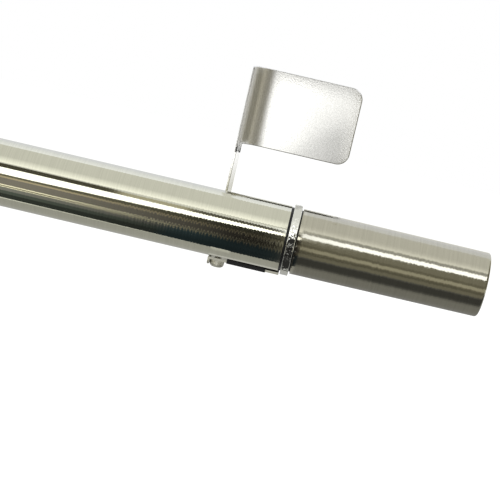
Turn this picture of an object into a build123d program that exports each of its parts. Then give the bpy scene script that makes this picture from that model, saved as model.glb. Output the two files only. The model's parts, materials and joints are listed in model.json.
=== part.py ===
from build123d import *
import math
import os

# A telescoping curtain rod on two stick-on wall brackets. Sizes are in millimetres.
# +X runs along the rod to the right-hand end cap, +Y goes into the wall and +Z is up.
# The origin is the middle of the right-hand adhesive pad, on the wall.

# Rod and its place
wall_to_axis = 57.0  # wall to the rod's axis
pad_above_axis = 44.5  # middle of the pads above the rod's axis
closed_span = 406.4  # from tube end to tube end with the rod pushed in
rod_travel = 254.0  # how far the rod pulls out
outer_od = 25.4
inner_od = 22.2
tube_wall = 0.7
outer_length = 345.0

# Sheet-metal bracket, measured from the tube's end along X and from the rod's axis
sheet = 0.9
arm_inset = 27.0  # outer face of the arm, in from the tube's end
arm_front = 15.0  # front edge of the arm, behind the axis
arm_back_gap = 1.2  # the arm's lower back edge, in front of the bend
arm_back_bottom = 7.0  # height at which the back edge turns to the hook
hook_heel = 20.0  # where the hook's lower edge leaves the level, behind the axis
flag_width = 45.0  # outer face of the arm to the free edge of the wall plate
flag_height = 32.5
bend_radius = 8.5  # inside of the bend between arm and wall plate
flag_corner = 5.0
saddle_inner = 13.2
saddle_end_gap = 0.6  # the saddle's end, past the tube's end
lip_angle = 10.0  # the saddle's front lip, forward of the lowest line
hook_radius = 16.0  # lower edge of the arm's hook
arm_top_round = 1.5
arm_back_round = 14.0
hook_heel_round = 12.0
lip_round = 1.2
edge_round = 0.35  # rolled edge where the saddle is drawn out of the arm

# Rubber liner of the saddle, and the foam pad
liner_start = 19.6  # in from the tube's end
liner_end = 4.6
liner_clearance = 0.15
liner_skin = 0.25  # the part folded over the outside of the lip
liner_back_angle = 75.0
liner_fold_back_angle = 20.0
pad_thickness = 1.0
pad_margin = 1.2
pad_bend_gap = 0.5

# Clamp screw, its curved washer and the nut pressed into the tube
screw_inset = 23.25  # in from the tube's end
screw_shank = 2.4
screw_head = 5.6
screw_head_height = 2.0
screw_head_round = 1.1
screw_tip_chamfer = 0.4
screw_recess = 2.6
screw_recess_slot = 0.7
screw_recess_depth = 1.1
screw_tip_reach = 2.4  # screw end above the tube's inner wall
washer_bottom = 14.55  # flat of the washer, below the axis
washer_hole = 2.7
saddle_hole = 2.9  # screw hole through the saddle
nut_thread = 2.5
nut_body = 5.8
nut_shank = 4.0
nut_height = 3.0

# End cap, its collar and the plug that holds both
collar_start = 0.95  # past the tube's end
collar_width = 3.05
collar_od = 27.2
collar_round = 0.25
cap_start = 4.5
cap_length = 72.4
cap_mouth_od = 25.25
cap_end_od = 24.7
cap_wall = 0.8
cap_end_wall = 1.0
cap_end_round = 1.0
plug_in_tube = 17.0
plug_in_cap = 24.0
plug_wall = 2.4
plug_flange_od = 24.5
plug_neck_od = 23.7
rib_count = 6
rib_width = 1.6
rib_height = 0.35
rib_lead = 2.0  # plain length before the ribs start
rib_turn = 30.0  # first rib, round from the top

# Slides between the two tubes
slide_length = 15.0
ferrule_lip = 1.2
glide_lip = 1.5
stop_gap = 0.5

# Fits
running = 0.05  # radial clearance of pieces that slide or turn
snug = 0.02  # between pieces of one body

# Worked out
outer_r = outer_od / 2
inner_r = inner_od / 2
outer_bore = outer_r - tube_wall
inner_bore = inner_r - tube_wall
saddle_outer = saddle_inner + sheet
flag_front = wall_to_axis - pad_thickness - sheet
bend_start = flag_front - bend_radius
arm_x = -arm_inset
flag_edge_x = arm_x + flag_width
flag_flat_x = arm_x + sheet + bend_radius
flag_low = pad_above_axis - flag_height / 2
flag_high = pad_above_axis + flag_height / 2
pad_low_x = flag_flat_x + pad_bend_gap
pad_high_x = flag_edge_x - pad_margin
pad_middle_x = (pad_low_x + pad_high_x) / 2
middle_x = -closed_span / 2
mouth_x = -outer_length
glide_left = mouth_x + slide_length + rod_travel + stop_gap
inner_right = glide_left + slide_length

# Everything is drawn with the origin on the rod's axis at the outer tube's right end
to_row = Pos(-pad_middle_x, -wall_to_axis, -pad_above_axis)
side_plane = Plane(origin=(0, 0, 0), x_dir=(0, 1, 0), z_dir=(1, 0, 0))
from_end = (Align.MIN, Align.CENTER, Align.CENTER)
parts = {}


def on_circle(radius, angle):
    # A point below the axis; the angle is counted forward from the lowest line.
    turn = math.radians(angle)
    return (-radius * math.sin(turn), -radius * math.cos(turn))


def extrude_side(face, start_x, end_x):
    # Draws a side view (Y, Z) out along X.
    return Pos(start_x, 0, 0) * extrude(side_plane * face, end_x - start_x)


def trough(inner, outer, back_angle, front_angle, start_x, end_x):
    # A length of gutter round the axis, from behind the rod to its front.
    middle = (front_angle - back_angle) / 2
    edge = Curve() + [
        ThreePointArc(on_circle(outer, -back_angle), on_circle(outer, middle), on_circle(outer, front_angle)),
        Line(on_circle(outer, front_angle), on_circle(inner, front_angle)),
        ThreePointArc(on_circle(inner, front_angle), on_circle(inner, middle), on_circle(inner, -back_angle)),
        Line(on_circle(inner, -back_angle), on_circle(outer, -back_angle)),
    ]
    return extrude_side(make_face(edge), start_x, end_x)


def turned(points):
    # A piece turned about the rod's axis; points are (x, radius).
    return revolve(make_face(Polyline(*[(x, r, 0) for x, r in points], close=True)), Axis.X)


def tube_x(radius, bore, start_x, end_x):
    return turned([(start_x, bore), (end_x, bore), (end_x, radius), (start_x, radius)])


def upright(radius, low_z, high_z, x):
    return Pos(x, 0, low_z) * Cylinder(radius, high_z - low_z, align=(Align.CENTER, Align.CENTER, Align.MIN))


def vertex_at(shape, y, z):
    return [v for v in shape.vertices() if abs(v.X - y) < 0.01 and abs(v.Y - z) < 0.01]


def arm_plate():
    # The upright plate: straight front edge, hook under the rod.
    back = bend_start - arm_back_gap
    lip_out = on_circle(hook_radius, lip_angle)
    lip_in = on_circle(saddle_inner, lip_angle)
    middle = (lip_angle - 90) / 2
    edge = Curve() + [
        Polyline(
            (saddle_inner, 0), (arm_front, 0), (arm_front, flag_high), (bend_start, flag_high),
            (bend_start, flag_low), (back, flag_low), (back, arm_back_bottom),
            (hook_heel, -hook_radius), (0, -hook_radius),
        ),
        ThreePointArc((0, -hook_radius), on_circle(hook_radius, lip_angle / 2), lip_out),
        Line(lip_out, lip_in),
        ThreePointArc(lip_in, on_circle(saddle_inner, middle), (saddle_inner, 0)),
    ]
    face = make_face(edge)
    for y, z, radius in (
        (arm_front, flag_high, arm_top_round),
        (back, arm_back_bottom, arm_back_round),
        (hook_heel, -hook_radius, hook_heel_round),
        (*lip_out, lip_round),
    ):
        face = fillet(vertex_at(face, y, z), radius)
    return extrude_side(face, arm_x, arm_x + sheet)


def wall_plate():
    # The bend and the flat plate that carries the pad.
    corner = (flag_flat_x, bend_start)
    half = math.sqrt(0.5)
    outside = bend_radius + sheet
    edge = Curve() + [
        ThreePointArc(
            (arm_x, bend_start),
            (corner[0] - outside * half, corner[1] + outside * half),
            (flag_flat_x, flag_front + sheet),
        ),
        Polyline(
            (flag_flat_x, flag_front + sheet), (flag_edge_x, flag_front + sheet),
            (flag_edge_x, flag_front), (flag_flat_x, flag_front),
        ),
        ThreePointArc(
            (flag_flat_x, flag_front),
            (corner[0] - bend_radius * half, corner[1] + bend_radius * half),
            (arm_x + sheet, bend_start),
        ),
        Line((arm_x + sheet, bend_start), (arm_x, bend_start)),
    ]
    plate = Pos(0, 0, flag_low) * extrude(make_face(edge), flag_height)
    corners = plate.edges().filter_by(Axis.Y).group_by(Axis.X)[-1]
    return fillet(corners, flag_corner)


def bracket_plate():
    saddle = trough(saddle_inner, saddle_outer, 90, lip_angle, arm_x, saddle_end_gap)
    body = arm_plate() + wall_plate() + saddle
    body -= upright(saddle_hole / 2, -hook_radius, 0, -screw_inset)
    drawn = [
        e for e in body.edges().filter_by(GeomType.CIRCLE)
        if abs(e.radius - saddle_inner) < 0.01 and abs(e.center(CenterOf.BOUNDING_BOX).X - arm_x) < 0.01
    ]
    return fillet(drawn, edge_round)


def saddle_liner(rod_r):
    # A rubber strip in the saddle, folded over its front lip.
    inner = rod_r + liner_clearance
    fold = saddle_outer + snug + liner_skin
    ends = (-liner_start, -liner_end)
    fold_angle = math.degrees(2 * liner_skin / saddle_outer)
    gap_angle = math.degrees(snug / saddle_outer)
    bed = trough(inner, saddle_inner - snug, liner_back_angle, lip_angle + gap_angle, *ends)
    over = trough(inner, fold, -(lip_angle + gap_angle), lip_angle + gap_angle + fold_angle, *ends)
    skin = trough(saddle_outer + snug, fold, liner_fold_back_angle, lip_angle + gap_angle, *ends)
    return bed + over + skin


def adhesive_pad():
    width = pad_high_x - pad_low_x
    height = flag_height - 2 * pad_margin
    face = RectangleRounded(width, height, flag_corner - pad_margin)
    back = Plane(origin=(pad_middle_x, wall_to_axis, pad_above_axis), x_dir=(1, 0, 0), z_dir=(0, -1, 0))
    return extrude(back * face, pad_thickness)


def saddle_washer():
    body = upright(screw_head / 2, -washer_bottom, 0, -screw_inset)
    body -= Pos(-screw_inset, 0, 0) * Rot(0, 90, 0) * Cylinder(saddle_outer + snug, 2 * screw_head)
    return body - upright(washer_hole / 2, -washer_bottom, 0, -screw_inset)


def clamp_screw(bore):
    # A screw with a wide pan head, driven up through the saddle, with a cross recess.
    top = -washer_bottom - snug
    low = top - screw_head_height
    head = upright(screw_head / 2, low, top, -screw_inset)
    head = fillet(head.edges().filter_by(GeomType.CIRCLE).group_by(Axis.Z)[0], screw_head_round)
    shank = upright(screw_shank / 2, top, -bore + screw_tip_reach, -screw_inset)
    shank = chamfer(shank.edges().filter_by(GeomType.CIRCLE).group_by(Axis.Z)[-1], screw_tip_chamfer)
    slot = Box(screw_recess, screw_recess_slot, 2 * screw_recess_depth)
    cross = Pos(-screw_inset, 0, low) * (slot + Rot(0, 0, 90) * slot)
    return head + shank - cross


def press_nut(tube_r, bore):
    # A nut pressed into the tube's lower wall, flush outside.
    shank = upright(nut_shank / 2, -tube_r, -bore + nut_height / 2, -screw_inset)
    shank &= Rot(0, 90, 0) * Cylinder(tube_r - snug, 4 * arm_inset)
    body = upright(nut_body / 2, -tube_r, -bore + nut_height, -screw_inset)
    body &= Rot(0, 90, 0) * Cylinder(bore - snug, 4 * arm_inset)
    return shank + body - upright(nut_thread / 2, -tube_r, 0, -screw_inset)


def collar():
    end = collar_start + collar_width
    ring = tube_x(collar_od / 2, plug_neck_od / 2 + snug, collar_start, end)
    outside = [e for e in ring.edges().filter_by(GeomType.CIRCLE) if e.radius > collar_od / 2 - 0.01]
    return fillet(outside, collar_round)


def end_cap():
    end = cap_start + cap_length
    mouth = cap_mouth_od / 2
    tip = cap_end_od / 2
    shell = turned([
        (cap_start, mouth - cap_wall), (cap_start, mouth), (end, tip), (end, 0),
        (end - cap_end_wall, 0), (end - cap_end_wall, tip - cap_wall),
    ])
    rim = shell.edges().filter_by(GeomType.CIRCLE).group_by(Axis.X)[-1]
    return fillet(rim, cap_end_round)


def cap_plug(bore):
    # A nylon plug: ribbed spigot in the tube, neck for the collar, tapered body in the cap.
    spigot = bore - running - rib_height
    hollow = spigot - plug_wall
    cap_slope = (cap_mouth_od - cap_end_od) / 2 / cap_length
    seat = cap_mouth_od / 2 - cap_wall - snug
    end = cap_start + plug_in_cap
    body = turned([
        (-plug_in_tube, hollow), (-plug_in_tube, spigot), (snug, spigot), (snug, plug_flange_od / 2),
        (collar_start - snug, plug_flange_od / 2), (collar_start - snug, plug_neck_od / 2),
        (cap_start - snug, plug_neck_od / 2), (cap_start - snug, seat),
        (end, seat - cap_slope * plug_in_cap), (end, 0), (end - plug_wall, 0), (end - plug_wall, hollow),
    ])
    for i in range(rib_count):
        rib = Box(plug_in_tube - rib_lead, rib_width, 2 * rib_height, align=from_end)
        body += Rot(360 * i / rib_count + rib_turn, 0, 0) * Pos(-plug_in_tube + rib_lead, 0, spigot) * rib
    reach = Rot(0, 90, 0) * Cylinder(bore - running, 2 * plug_in_tube)
    keep = Box(4 * cap_length, 4 * outer_od, 4 * outer_od, align=from_end)
    return body & (reach + keep)


def mirror_end(piece):
    return mirror(piece, about=Plane.YZ.offset(middle_x))


# Both ends: the right-hand one holds the outer tube, the left-hand one the inner tube
for side, tube_r, bore in (("right", outer_r, outer_bore), ("left", inner_r, inner_bore)):
    pieces = {
        "bracket_plate": bracket_plate(),
        "saddle_liner": saddle_liner(tube_r),
        "adhesive_pad": adhesive_pad(),
        "saddle_washer": saddle_washer(),
        "clamp_screw": clamp_screw(bore),
        "press_nut": press_nut(tube_r, bore),
        "collar": collar(),
        "end_cap": end_cap(),
        "cap_plug": cap_plug(bore),
    }
    for name, piece in pieces.items():
        parts[side + "_" + name] = piece if side == "right" else mirror_end(piece)

# Tubes, each drilled for its nut
nut_hole = nut_shank / 2 + running
outer_tube = tube_x(outer_r, outer_bore, mouth_x, 0)
parts["outer_tube"] = outer_tube - upright(nut_hole, -outer_od, 0, -screw_inset)
inner_tube = tube_x(inner_r, inner_bore, -closed_span, inner_right)
parts["inner_tube"] = inner_tube - upright(nut_hole, -outer_od, 0, -closed_span + screw_inset)

# Nylon ferrule in the outer tube's mouth and glide on the inner tube's hidden end
ferrule_bore = inner_r + running
parts["mouth_ferrule"] = turned([
    (mouth_x - ferrule_lip, ferrule_bore), (mouth_x - ferrule_lip, outer_r), (mouth_x - snug, outer_r),
    (mouth_x - snug, outer_bore - snug), (mouth_x + slide_length, outer_bore - snug),
    (mouth_x + slide_length, ferrule_bore),
])
parts["tail_glide"] = turned([
    (glide_left, inner_r + snug), (glide_left, outer_bore - running),
    (inner_right + glide_lip, outer_bore - running), (inner_right + glide_lip, inner_bore),
    (inner_right + snug, inner_bore), (inner_right + snug, inner_r + snug),
])

os.makedirs("parts", exist_ok=True)
for name, piece in parts.items():
    export_step(to_row * piece, os.path.join("parts", name + ".step"))
print("nodes:", len(parts))
print("tube end at X", round(-pad_middle_x, 3), "left end at X", round(-pad_middle_x - closed_span, 3))
print("tube overlap when pulled out:", round(inner_right - rod_travel - mouth_x, 1))
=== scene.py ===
import json
import math
import bmesh
import bpy
from mathutils import Matrix, Vector


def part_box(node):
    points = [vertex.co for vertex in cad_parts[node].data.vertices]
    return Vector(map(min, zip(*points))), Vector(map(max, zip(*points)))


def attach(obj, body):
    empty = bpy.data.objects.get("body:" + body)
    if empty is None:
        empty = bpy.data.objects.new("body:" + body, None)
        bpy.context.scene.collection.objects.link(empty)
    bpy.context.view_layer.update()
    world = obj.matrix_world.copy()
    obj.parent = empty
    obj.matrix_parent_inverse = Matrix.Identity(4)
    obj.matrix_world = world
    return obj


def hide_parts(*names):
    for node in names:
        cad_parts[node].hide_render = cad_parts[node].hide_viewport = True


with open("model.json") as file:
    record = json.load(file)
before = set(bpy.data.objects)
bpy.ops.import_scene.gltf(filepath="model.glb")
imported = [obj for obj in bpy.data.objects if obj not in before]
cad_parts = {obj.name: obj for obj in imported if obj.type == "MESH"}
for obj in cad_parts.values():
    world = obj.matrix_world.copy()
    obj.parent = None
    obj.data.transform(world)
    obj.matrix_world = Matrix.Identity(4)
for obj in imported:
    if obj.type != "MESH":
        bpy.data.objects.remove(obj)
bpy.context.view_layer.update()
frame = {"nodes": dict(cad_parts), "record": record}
nodes = frame["nodes"]
mm = 0.001
print("frame loaded:", len(nodes), "nodes")

# rod axis and the two tube ends, read from the frame
outerLow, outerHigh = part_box("outer_tube")
axisY = (outerLow[1] + outerHigh[1]) / 2
axisZ = (outerLow[2] + outerHigh[2]) / 2
rightEnd = outerHigh[0]
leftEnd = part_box("inner_tube")[0][0]
sides = {
    "right": {"sign": 1, "tubeEnd": rightEnd, "tube": "outer_tube"},
    "left": {"sign": -1, "tubeEnd": leftEnd, "tube": "inner_tube"},
}


# materials

def setSockets(node, values):
    for name, value in values.items():
        node.inputs[name].default_value = value


def newMaterial(name, colour, metallic, roughness):
    mat = bpy.data.materials.new(name)
    mat.use_nodes = True
    shader = mat.node_tree.nodes["Principled BSDF"]
    setSockets(shader, {"Base Color": (*colour, 1), "Metallic": metallic, "Roughness": roughness})
    mat.diffuse_color = (*colour, 1)
    return mat, shader


def texture(mat, kind, stretch):
    make, link = mat.node_tree.nodes.new, mat.node_tree.links.new
    coords, mapping, node = make("ShaderNodeTexCoord"), make("ShaderNodeMapping"), make(kind)
    setSockets(mapping, {"Scale": stretch})
    setSockets(node, {"Scale": 1})
    link(coords.outputs["Object"], mapping.inputs["Vector"])
    link(mapping.outputs["Vector"], node.inputs["Vector"])
    return node


def stretchedNoise(mat, stretch, detail, rough=0.55):
    noise = texture(mat, "ShaderNodeTexNoise", stretch)
    setSockets(noise, {"Detail": detail, "Roughness": rough})
    return noise.outputs["Fac"]


def position(mat):
    coords = mat.node_tree.nodes.new("ShaderNodeTexCoord")
    axes = mat.node_tree.nodes.new("ShaderNodeSeparateXYZ")
    mat.node_tree.links.new(coords.outputs["Object"], axes.inputs["Vector"])
    return axes.outputs


def spread(mat, source, fromLow, fromHigh, toLow, toHigh):
    node = mat.node_tree.nodes.new("ShaderNodeMapRange")
    setSockets(node, {"From Min": fromLow, "From Max": fromHigh, "To Min": toLow, "To Max": toHigh})
    mat.node_tree.links.new(source, node.inputs["Value"])
    return node.outputs["Result"]


def mathNode(tree, kind, *sources):
    # a source is a socket or a plain number
    node = tree.nodes.new("ShaderNodeMath")
    node.operation = kind
    for socket, source in zip(node.inputs, sources):
        if isinstance(source, float):
            socket.default_value = source
        else:
            tree.links.new(source, socket)
    return node.outputs[0]


def tint(mat, source, dark, light):
    node = mat.node_tree.nodes.new("ShaderNodeMix")
    node.data_type = "RGBA"
    setSockets(node, {"A": (*dark, 1), "B": (*light, 1)})
    mat.node_tree.links.new(source, node.inputs["Factor"])
    return node.outputs["Result"]


def addBump(mat, shader, heights):
    # heights: list of (source, strength, distance)
    last = None
    for source, strength, distance in heights:
        bump = mat.node_tree.nodes.new("ShaderNodeBump")
        setSockets(bump, {"Strength": strength, "Distance": distance})
        mat.node_tree.links.new(source, bump.inputs["Height"])
        if last:
            mat.node_tree.links.new(last, bump.inputs["Normal"])
        last = bump.outputs["Normal"]
    mat.node_tree.links.new(last, shader.inputs["Normal"])


def scaled(colour, k):
    return tuple(min(1, c * k) for c in colour)


noiseRange = (0.3, 0.7)  # where most of a noise lies
brushSet = {"roughVary": (0.75, 1.2), "smudgeScale": (60, 90, 90), "smudgeRange": (0.45, 0.75), "quarterTurn": 0.25,
            "lineDepth": 0.01 * mm, "chatterDepth": 0.04 * mm}


def turnedMetal(name, s):
    # metal brushed round the rod: lines run round, so the noise is fine along X and long round the tube
    mat, shader = newMaterial(name, s["colour"], 1, s["roughness"])
    lines = stretchedNoise(mat, (s["lineScale"], s["lineRound"], s["lineRound"]), 3)
    chatter = stretchedNoise(mat, (s["chatterScale"], s["chatterRound"], s["chatterRound"]), 2)
    smudge = stretchedNoise(mat, brushSet["smudgeScale"], 3)
    tree = mat.node_tree
    tree.links.new(tint(mat, spread(mat, lines, *noiseRange, 0, 1), scaled(s["colour"], 1 - s["tintAmount"]),
                        scaled(s["colour"], 1 + s["tintAmount"])), shader.inputs["Base Color"])
    smooth, rough = (s["roughness"] * k for k in brushSet["roughVary"])
    dull = mathNode(tree, "ADD", spread(mat, lines, *noiseRange, smooth, rough),
                    spread(mat, smudge, *brushSet["smudgeRange"], 0, s["smudge"]))
    tree.links.new(dull, shader.inputs["Roughness"])
    setSockets(shader, {"Anisotropic": s["anisotropic"], "Anisotropic Rotation": brushSet["quarterTurn"]})
    tangent = tree.nodes.new("ShaderNodeTangent")
    tangent.direction_type = "RADIAL"
    tangent.axis = "X"
    tree.links.new(tangent.outputs[0], shader.inputs["Tangent"])
    addBump(mat, shader, [(lines, s["lineBump"], brushSet["lineDepth"]),
                          (chatter, s["chatterBump"], brushSet["chatterDepth"])])
    combNormal(mat, shader, s)
    return mat


# the strokes lean most near the right-hand end, in a belt just below the rod's axis
combSet = {"farX": -90 * mm, "nearX": -35 * mm, "top": 1.5 * mm, "high": -0.5 * mm, "low": -5 * mm,
           "bottom": -8 * mm, "distortion": 5, "detailScale": 2}


def combNormal(mat, shader, s):
    # each brush stroke leans a little up or down the tube's round
    tree, zone = mat.node_tree, combSet
    make, link = tree.nodes.new, tree.links.new
    bent = shader.inputs["Normal"].links[0].from_socket
    strokes = texture(mat, s["combKind"], (s["combScale"], s["combRound"], s["combRound"]))
    if s["combKind"] == "ShaderNodeTexWave":
        setSockets(strokes, {"Distortion": zone["distortion"], "Detail Scale": zone["detailScale"]})
    pick = make("ShaderNodeSeparateColor")
    link(strokes.outputs["Color"], pick.inputs["Color"])
    at = position(mat)
    grow = mathNode(tree, "MULTIPLY", spread(mat, pick.outputs["Red"], 0, 1, -s["comb"], s["comb"]),
                    spread(mat, at["X"], zone["farX"], zone["nearX"], s["combLeast"], 1))
    belt = mathNode(tree, "MINIMUM", *(
        spread(mat, at["Z"], axisZ + zone[outer], axisZ + zone[inner], s["combAside"], 1)
        for outer, inner in (("top", "high"), ("bottom", "low"))))
    lean = mathNode(tree, "MULTIPLY", grow, belt)

    def vectorNode(kind, *sources):
        node = make("ShaderNodeVectorMath")
        node.operation = kind
        for socket, source in sources:
            link(source, node.inputs[socket])
        return node

    around = vectorNode("CROSS_PRODUCT", (1, bent))
    around.inputs[0].default_value = (1, 0, 0)
    push = vectorNode("SCALE", (0, around.outputs["Vector"]), ("Scale", lean))
    total = vectorNode("ADD", (0, bent), (1, push.outputs["Vector"]))
    unit = vectorNode("NORMALIZE", (0, total.outputs["Vector"]))
    link(unit.outputs["Vector"], shader.inputs["Normal"])


tubeFinish = {
    "colour": (0.53, 0.525, 0.42),
    "roughness": 0.085,
    "smudge": 0.03,
    "anisotropic": 0.8,
    "tintAmount": 0.05,
    "lineScale": 2600, "lineRound": 45, "lineBump": 0.1,
    "chatterScale": 900, "chatterRound": 160, "chatterBump": 0.08,
    "combKind": "ShaderNodeTexWave", "combScale": 260, "combRound": 70, "comb": 0.05, "combLeast": 0.06,
    "combAside": 0.2,
}
capFinish = {
    "colour": (0.415, 0.4, 0.315),
    "roughness": 0.13,
    "smudge": 0.04,
    "anisotropic": 0.7,
    "tintAmount": 0.055,
    "lineScale": 2200, "lineRound": 40, "lineBump": 0.2,
    "chatterScale": 2200, "chatterRound": 1800, "chatterBump": 0.12,
    "combKind": "ShaderNodeTexVoronoi", "combScale": 2600, "combRound": 120, "comb": 0.014, "combLeast": 1,
    "combAside": 1,
}
collarFinish = {
    "colour": (0.74, 0.74, 0.66),
    "roughness": 0.07,
    "smudge": 0.03,
    "anisotropic": 0.2,
    "tintAmount": 0.03,
    "lineScale": 1500, "lineRound": 200, "lineBump": 0.15,
    "chatterScale": 2200, "chatterRound": 2200, "chatterBump": 0.6,
    "combKind": "ShaderNodeTexVoronoi", "combScale": 2600, "combRound": 2000, "comb": 0.2, "combLeast": 1,
    "combAside": 1,
}
brushedTube = turnedMetal("brushedTube", tubeFinish)
satinCap = turnedMetal("satinCap", capFinish)
chromeCollar = turnedMetal("chromeCollar", collarFinish)


# heights above the rod's axis, and the bend's distance from the tube's end
sheetSet = {"underRodShadeLow": 12 * mm, "underRodShadeHigh": 24 * mm, "bendLow": 26 * mm, "bendHigh": 29 * mm, "bendIn": 20 * mm,
            "bendOut": 16 * mm, "dark": 0.94, "light": 1.04, "roughVary": (0.8, 1.2), "mottleDepth": 0.06 * mm,
            "grainDepth": 0.01 * mm}


def sheetMetal(name, s):
    # plated sheet with fine mottled grain, rougher below the rod and where it is stretched in the bend; below the
    # rod its colour is also darker and yellower, which is painted shade under the rod
    mat, shader = newMaterial(name, s["colour"], 1, s["roughness"])
    grain = stretchedNoise(mat, (s["grainX"], s["grainX"], s["grainZ"]), 4, 0.6)
    mottle = stretchedNoise(mat, (s["mottle"],) * 3, 3)
    tree, zone = mat.node_tree, sheetSet
    link, at = tree.links.new, position(mat)
    # painted shade: from here down the sheet blends to the darker colour under the rod, and it also grows rougher
    underRodShadeAndDull = spread(mat, at["Z"], axisZ + zone["underRodShadeLow"], axisZ + zone["underRodShadeHigh"], 1, 0)
    speckle = spread(mat, mottle, *noiseRange, 0, 1)
    flat = tint(mat, speckle, scaled(s["colour"], 1 - s["speckle"]), scaled(s["colour"], zone["light"]))
    low = tint(mat, speckle, scaled(s["underRodShadeColour"], zone["dark"]), scaled(s["underRodShadeColour"], zone["light"]))
    blend = tree.nodes.new("ShaderNodeMix")
    blend.data_type = "RGBA"
    link(underRodShadeAndDull, blend.inputs["Factor"])
    link(flat, blend.inputs["A"])
    link(low, blend.inputs["B"])
    link(blend.outputs["Result"], shader.inputs["Base Color"])
    smooth, rough = (s["roughness"] * k for k in zone["roughVary"])
    dull = mathNode(tree, "ADD", spread(mat, grain, *noiseRange, smooth, rough),
                    spread(mat, underRodShadeAndDull, 0, 1, 0, s["dull"]))
    middle, reach = (rightEnd + leftEnd) / 2, (rightEnd - leftEnd) / 2
    away = mathNode(tree, "ABSOLUTE", mathNode(tree, "SUBTRACT", at["X"], middle))
    across = spread(mat, away, reach - zone["bendIn"], reach - zone["bendOut"], s["bendDull"], 0)
    above = spread(mat, at["Z"], axisZ + zone["bendLow"], axisZ + zone["bendHigh"], 0, s["bendDull"])
    bend = mathNode(tree, "MINIMUM", across, above)
    link(mathNode(tree, "ADD", dull, bend), shader.inputs["Roughness"])
    addBump(mat, shader, [(mottle, s["mottleBump"], zone["mottleDepth"]),
                          (grain, s["grainBump"], zone["grainDepth"])])
    return mat


sheetFinish = {
    "colour": (0.8, 0.795, 0.76),
    # darker colour below the rod: painted shade under it
    "underRodShadeColour": (0.56, 0.55, 0.46),
    "speckle": 0.16,
    "roughness": 0.13,
    "dull": 0.25,
    "bendDull": 0.2,
    "grainX": 3200, "grainZ": 2000, "grainBump": 0.06,
    "mottle": 1700, "mottleBump": 0.5,
}
screwFinish = {
    "colour": (0.62, 0.61, 0.53),
    # the screw sits wholly below the rod, so this darker colour, painted shade, covers all of it
    "underRodShadeColour": (0.56, 0.55, 0.46),
    "speckle": 0.06,
    "roughness": 0.48,
    "dull": 0,
    "bendDull": 0,
    "grainX": 3000, "grainZ": 3000, "grainBump": 0.15,
    "mottle": 1200, "mottleBump": 0.05,
}
satinSheet = sheetMetal("satinSheet", sheetFinish)
platedScrew = sheetMetal("platedScrew", screwFinish)


plasticSet = {"dark": 0.85, "light": 1.15, "roughVary": 0.06, "depth": 0.05 * mm}


def softPlastic(name, s):
    mat, shader = newMaterial(name, s["colour"], 0, s["roughness"])
    setSockets(shader, {"Specular IOR Level": s["shine"]})
    grain = stretchedNoise(mat, (s["grain"],) * 3, 4, 0.6)
    link, vary = mat.node_tree.links.new, plasticSet["roughVary"]
    link(tint(mat, grain, scaled(s["colour"], plasticSet["dark"]), scaled(s["colour"], plasticSet["light"])),
         shader.inputs["Base Color"])
    link(spread(mat, grain, *noiseRange, s["roughness"] - vary, s["roughness"] + vary), shader.inputs["Roughness"])
    addBump(mat, shader, [(grain, s["bump"], plasticSet["depth"])])
    return mat


# near-black rubber: partly painted shade for the dark gap between the rod and the saddle
shadeRubberFinish = {"colour": (0.012, 0.012, 0.013), "roughness": 0.6, "grain": 1800, "bump": 0.3, "shine": 0.2}
nylonFinish = {"colour": (0.014, 0.014, 0.015), "roughness": 0.42, "grain": 1400, "bump": 0.2, "shine": 0.2}
foamFinish = {"colour": (0.78, 0.78, 0.75), "roughness": 0.8, "grain": 2500, "bump": 0.6, "shine": 0.4}
shadeBlackRubber = softPlastic("shadeBlackRubber", shadeRubberFinish)
blackNylon = softPlastic("blackNylon", nylonFinish)
foamTape = softPlastic("foamTape", foamFinish)
finishes = {
    "tube": brushedTube, "cap": satinCap, "collar": chromeCollar, "bracket": satinSheet,
    "rubber": shadeBlackRubber, "nylon": blackNylon, "foam": foamTape, "screw": platedScrew,
}
slotOf = {row["node"]: row["material_slot"] for row in frame["record"]["subparts"]}
for node, slot in slotOf.items():
    nodes[node].data.materials.clear()
    nodes[node].data.materials.append(finishes[slot])
bodyOf = {node: body for body, held in frame["record"]["behaviour"]["bodies"].items() for node in held}
print("finishes made:", len(finishes))


# helpers for meshes

def newObject(name, data):
    obj = bpy.data.objects.new(name, data)
    bpy.context.collection.objects.link(obj)
    return obj


def meshObject(name, points=(), faces=(), mats=(), edges=()):
    mesh = bpy.data.meshes.new(name)
    mesh.from_pydata(points, edges, faces)
    for mat in mats:
        mesh.materials.append(mat)
    return newObject(name, mesh)


def plainMesh(obj):
    # the evaluated shape becomes the object's own mesh, with no modifier left
    bpy.context.view_layer.update()
    graph = bpy.context.evaluated_depsgraph_get()
    mesh = bpy.data.meshes.new_from_object(obj.evaluated_get(graph))
    obj.modifiers.clear()
    obj.data = mesh
    mesh.name = obj.name
    return obj


def softenEdges(obj, width, steps=2, angle=40):
    mod = obj.modifiers.new("edges", "BEVEL")
    mod.width = width
    mod.segments = steps
    mod.limit_method = "ANGLE"
    mod.angle_limit = math.radians(angle)
    mod.harden_normals = True
    mod.use_clamp_overlap = True
    mod.material = -1
    return plainMesh(obj)


def smoothByAngle(obj, angle=30):
    for poly in obj.data.polygons:
        poly.use_smooth = True
    obj.data.set_sharp_from_angle(angle=math.radians(angle))


def cleanMesh(obj, gap=1e-7):
    work = bmesh.new()
    work.from_mesh(obj.data)
    bmesh.ops.remove_doubles(work, verts=work.verts, dist=gap)
    bmesh.ops.recalc_face_normals(work, faces=work.faces)
    work.to_mesh(obj.data)
    work.free()


def cutAway(obj, cutter):
    mod = obj.modifiers.new("cut", "BOOLEAN")
    mod.operation = "DIFFERENCE"
    mod.solver = "EXACT"
    mod.object = cutter
    plainMesh(obj)
    bpy.data.objects.remove(cutter)


def standFor(obj, node):
    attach(obj, bodyOf[node])
    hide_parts(node)


# Geometry Nodes groups with named inputs
placeNames = ["Place X", "Place Y", "Place Z"]


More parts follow.
